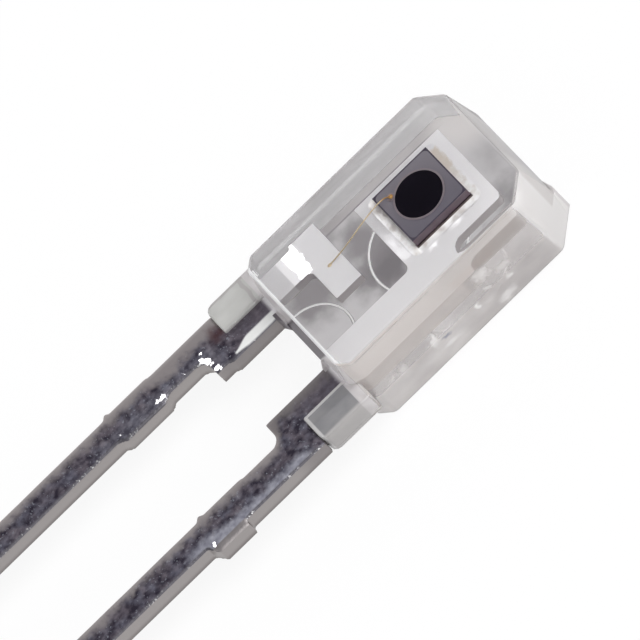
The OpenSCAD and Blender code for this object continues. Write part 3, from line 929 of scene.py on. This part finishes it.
def makeLead(nodeName, name):
    lead = copyNode(nodeName, name)
    applyModifier(lead, "REMESH", mode="VOXEL", voxel_size=leadSet["voxel"] * mm)
    outside = lead.vertex_groups.new(name="outside")
    fade = leadSet["crownFade"]
    for vertex in lead.data.vertices:
        share = (leadSet["bodyEnd"] + fade - vertex.co.y / mm) / (2 * fade)
        share = min(max(share, leadSet["crownLeast"]), 1)
        outside.add([vertex.index], share if vertex.co.z / mm > leadSet["middle"] else 0, "REPLACE")
    applyModifier(lead, "SMOOTH", use_x=False, use_y=False, factor=0.5, iterations=leadSet["crownSteps"],
                  vertex_group="outside")
    lumps = bpy.data.textures.new(name + "Lumps", "CLOUDS")
    lumps.noise_scale = leadSet["lumpSize"] * mm
    applyModifier(lead, "DISPLACE", texture=lumps, texture_coords="LOCAL", direction="Z",
                  strength=leadSet["lumpHeight"] * mm, mid_level=0.5, vertex_group="outside")
    pick(lead)
    bpy.ops.object.shade_smooth_by_angle(angle=math.radians(35))
    return lead


tinned = leadMaterial()
place(makeLead("anode_lead", "anodeLead"), "anode_lead", tinned)
place(makeLead("cathode_lead", "cathodeLead"), "cathode_lead", tinned)
print("leads done")


# Chip and its films

chipSet = {
    "centre": (-0.095, 0.645, 0),
    "half": 0.54,
    "border": 0.022,
    "corner": 0.08,
    "top": 1.22,
    "base": 0.92,
    "slate": ((0.3, 0.28, 0.315, 1), (0.22, 0.205, 0.245, 1)),  # left and right
    "street": (0.1, 0.085, 0.115, 1),
    "side": (0.14, 0.085, 0.12, 1),
    # painted shadow along the base of the chip's sides
    "sideLow": (0.035, 0.022, 0.03, 1),
    "coating": {"Base Color": (0.004, 0.003, 0.006, 1), "Roughness": 0.12, "Specular IOR Level": 0.1},
    "contact": {"Base Color": (0.34, 0.29, 0.31, 1), "Metallic": 0.3, "Roughness": 0.4},
    # where each mask starts and where it is full
    "spans": {
        "street": (-0.004, 0.004),  # from the street's inner edge
        "slate": (-0.55, 0.45),
        "low": (0.07, 0.02),  # from the base
        "top": (-0.006, -0.002),  # from the top
    },
}


def fromChip(tree, coords):
    local = addNode(tree, "VectorMath", {0: coords, 1: Vector(chipSet["centre"]) * mm}, operation="SUBTRACT").outputs[0]
    return addNode(tree, "VectorMath", {0: local}, operation="ABSOLUTE").outputs[0]


def chipMaterial():
    material, tree, shader = newMaterial("silicon", Roughness=0.22)
    span = maskTools(tree, chipSet)[0]
    coords = addNode(tree, "TexCoord").outputs["Object"]
    axes = addNode(tree, "SeparateXYZ", {0: coords}).outputs
    flat = (chipSet["half"] - chipSet["border"] - chipSet["corner"]) * mm
    over = addNode(tree, "VectorMath", {0: fromChip(tree, coords), 1: (flat, flat, 1)}, operation="SUBTRACT").outputs[0]
    over = addNode(tree, "VectorMath", {0: over, 1: (0, 0, 0)}, operation="MAXIMUM").outputs[0]
    away = addNode(tree, "VectorMath", {0: over}, operation="LENGTH").outputs["Value"]
    onStreet = span(join(tree, "SUBTRACT", away, chipSet["corner"] * mm), "street")
    onLow = span(join(tree, "SUBTRACT", axes["Z"], chipSet["base"] * mm), "low")
    onTop = span(join(tree, "SUBTRACT", axes["Z"], chipSet["top"] * mm), "top")
    slate = blend(tree, span(axes["X"], "slate"), *chipSet["slate"])
    topColor = blend(tree, onStreet, slate, chipSet["street"])
    # sides darker at the base: painted shadow
    sideColor = blend(tree, onLow, chipSet["side"], chipSet["sideLow"])
    tree.links.new(blend(tree, onTop, sideColor, topColor), shader.inputs["Base Color"])
    return material


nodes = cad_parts
place(nodes["chip"], "chip", chipMaterial())
place(nodes["active_area"], "active_area", newMaterial("darkCoating", **chipSet["coating"])[0])
place(nodes["contact_ring"], "contact_ring", newMaterial("contactMetal", **chipSet["contact"])[0])
print("chip done")


# Silver paste under the chip

pasteSet = {
    "voxel": 0.012,
    "rise": 0.09,
    "lump": 0.09,
    "floor": 0.91,  # height above which the lumps start
    "proudEnd": 0.13,  # of the lumps, from the chip's edge
    "proudFade": 0.1,
    # the lumps run from dull to white silver: partly the paste's grain, partly painted glints where they rise
    "white": (1.0, 1.0, 0.99, 1),
    "dull": (0.82, 0.78, 0.75, 1),
    "beige": (0.85, 0.77, 0.68, 1),
    "shade": (0.1, 0.07, 0.065, 1),
    "metal": (0.1, 0.5),
    "lowMetal": (0.45, 0.9),
    "bump": 0.35,
    "bumpHeight": 0.008,
    "normalShare": 0.7,
    "lowShare": 0.85,
    "lowNormal": (0.285, 0.05, 0.957),
    # noises: scale, low and high end, detail; and how far they move an edge
    "lumps": (9000, 0.34, 0.6, 3.0),
    "wide": (5000, 0.3, 0.7, 3.0),
    "beigeShift": 0.5,
    "borderShift": 0.04,
    "leftShift": 0.15,
    # where each mask starts and where it is full
    "spans": {
        "beige": (0.4, -0.45),
        "beigeRise": (-0.2, 0.8),
        "leftEnd": (-0.56, -0.66),
        "leftRise": (0.3, 0.5),
        "border": (0.62, 0.69),  # from the chip's centre
        "low": (0.13, 0.08),
    },
    # low end, high end and softness, from the chip's right edge and its centre
    "bands": {
        "beside": (-0.05, 0.025, 0.012),
        "besideRise": (-chipSet["half"], chipSet["half"], 0.02),
    },
}


def pasteMaterial():
    material, tree, shader = newMaterial("curedPaste", Roughness=0.45)
    span, band, both, either = maskTools(tree, pasteSet)
    coords = addNode(tree, "TexCoord").outputs["Object"]
    x, y = addNode(tree, "SeparateXYZ", {0: coords}).outputs[:2]
    lumps, wide = (noiseMix(tree, coords, *pasteSet[key]) for key in ("lumps", "wide"))
    centre = chipSet["centre"]
    fromRight = join(tree, "SUBTRACT", x, (centre[0] + chipSet["half"]) * mm)
    fromMiddle = join(tree, "SUBTRACT", y, centre[1] * mm)
    aside = addNode(tree, "SeparateXYZ", {0: fromChip(tree, coords)}).outputs
    border = shifted(tree, either(aside["X"], aside["Y"]), lumps, pasteSet["borderShift"])
    onLow = span(y, "low")
    beige = both(span(shifted(tree, x, wide, pasteSet["beigeShift"]), "beige"), span(y, "beigeRise"))
    beside = both(band(fromRight, "beside"), band(fromMiddle, "besideRise"))
    leftEnd = both(span(shifted(tree, x, wide, pasteSet["leftShift"]), "leftEnd"), span(y, "leftRise"))
    # lumps from dull to white: the paste's grain with painted glints on it
    color = layer(tree, blend(tree, lumps, pasteSet["dull"], pasteSet["white"]), (
        (beige, pasteSet["beige"]),
        (beside, pasteSet["shade"]),
        (either(span(border, "border"), leftEnd), leadSet["silver"]),
    ))
    tree.links.new(color, shader.inputs["Base Color"])
    metal = blend(tree, onLow, blend(tree, lumps, *pasteSet["metal"]), blend(tree, lumps, *pasteSet["lowMetal"]))
    tree.links.new(metal, shader.inputs["Metallic"])
    normal = addNode(tree, "Bump", {"Strength": pasteSet["bump"], "Distance": pasteSet["bumpHeight"] * mm,
                                    "Height": lumps}).outputs["Normal"]
    for share, turned in ((pasteSet["normalShare"], leadSet["padNormal"]),
                          (both(onLow, pasteSet["lowShare"]), pasteSet["lowNormal"])):
        normal = addNode(tree, "Mix", {0: share, 4: normal, 5: turned}, data_type="VECTOR").outputs[1]
    tree.links.new(normal, shader.inputs["Normal"])
    return material


def makePaste():
    paste = copyNode("silver_paste", "pasteBed")
    applyModifier(paste, "REMESH", mode="VOXEL", voxel_size=pasteSet["voxel"] * mm)
    proud = paste.vertex_groups.new(name="proud")
    centre = Vector(chipSet["centre"])
    for vertex in paste.data.vertices:
        spot = vertex.co / mm - centre
        away = max(abs(spot.x), abs(spot.y)) - chipSet["half"]
        share = min(max((pasteSet["proudEnd"] - away) / pasteSet["proudFade"], 0), 1)
        proud.add([vertex.index], share if vertex.co.z / mm > pasteSet["floor"] else 0, "REPLACE")
    lumps = bpy.data.textures.new("pasteLumps", "CLOUDS")
    lumps.noise_scale = pasteSet["lump"] * mm
    applyModifier(paste, "DISPLACE", texture=lumps, texture_coords="LOCAL", direction="Z",
                  strength=pasteSet["rise"] * mm, mid_level=0.1, vertex_group="proud")
    applyModifier(paste, "SMOOTH", factor=0.5, iterations=2)
    pick(paste)
    bpy.ops.object.shade_smooth()
    return paste


place(makePaste(), "silver_paste", pasteMaterial())
print("paste done")


# Bond wire

wireSet = {
    "radius": 0.0115,
    "path": ((-0.417, 0.323, 1.25), (-0.424, 0.27, 1.33), (-0.43, 0.2, 1.368), (-0.424, 0.056, 1.372),
             (-0.406, -0.192, 1.33), (-0.394, -0.631, 1.12), (-0.432, -0.93, 0.95), (-0.45, -1.0, 0.912)),
    "ball": ((-0.417, 0.323, 1.246), (0.038, 0.038, 0.022)),
    "stitch": ((-0.448, -1.0, 0.906), (0.03, 0.036, 0.01)),
    "gold": (0.9, 0.74, 0.5, 1),
    "warm": (0.7, 0.4, 0.14, 1),
    "warmFrom": (0.1, 0.25),
}


def wireMaterial():
    material, tree, shader = newMaterial("goldWire", Metallic=0.85, Roughness=0.3)
    y = addNode(tree, "SeparateXYZ", {0: addNode(tree, "TexCoord").outputs["Object"]}).outputs["Y"]
    warm = step(tree, y, *wireSet["warmFrom"])
    tree.links.new(blend(tree, warm, wireSet["gold"], wireSet["warm"]), shader.inputs["Base Color"])
    return material


def makeWire():
    curve = bpy.data.curves.new("wirePath", "CURVE")
    curve.dimensions = "3D"
    curve.bevel_depth = wireSet["radius"] * mm
    curve.bevel_resolution = 4
    curve.use_fill_caps = True
    spline = curve.splines.new("NURBS")
    spline.points.add(len(wireSet["path"]) - 1)
    for point, spot in zip(spline.points, wireSet["path"]):
        point.co = (*(Vector(spot) * mm), 1)
    spline.use_endpoint_u = True
    spline.order_u = 3
    spline.resolution_u = 10
    wire = bpy.data.objects.new("goldWire", curve)
    bpy.context.scene.collection.objects.link(wire)
    pick(wire)
    bpy.ops.object.convert(target="MESH")
    wire = bpy.context.object
    for key in ("ball", "stitch"):
        spot, half = wireSet[key]
        bpy.ops.object.select_all(action="DESELECT")
        bpy.ops.mesh.primitive_uv_sphere_add(segments=32, ring_count=16, radius=1)
        bead = bpy.context.object
        edit(bead)
        bpy.ops.transform.resize(value=[v * mm for v in half])
        bpy.ops.transform.translate(value=[v * mm for v in spot])
        leave()
        pick(wire)
        bead.select_set(True)
        bpy.ops.object.join()
    pick(wire)
    bpy.ops.object.shade_smooth()
    return wire


place(makeWire(), "bond_wire", wireMaterial())
print("wire done")
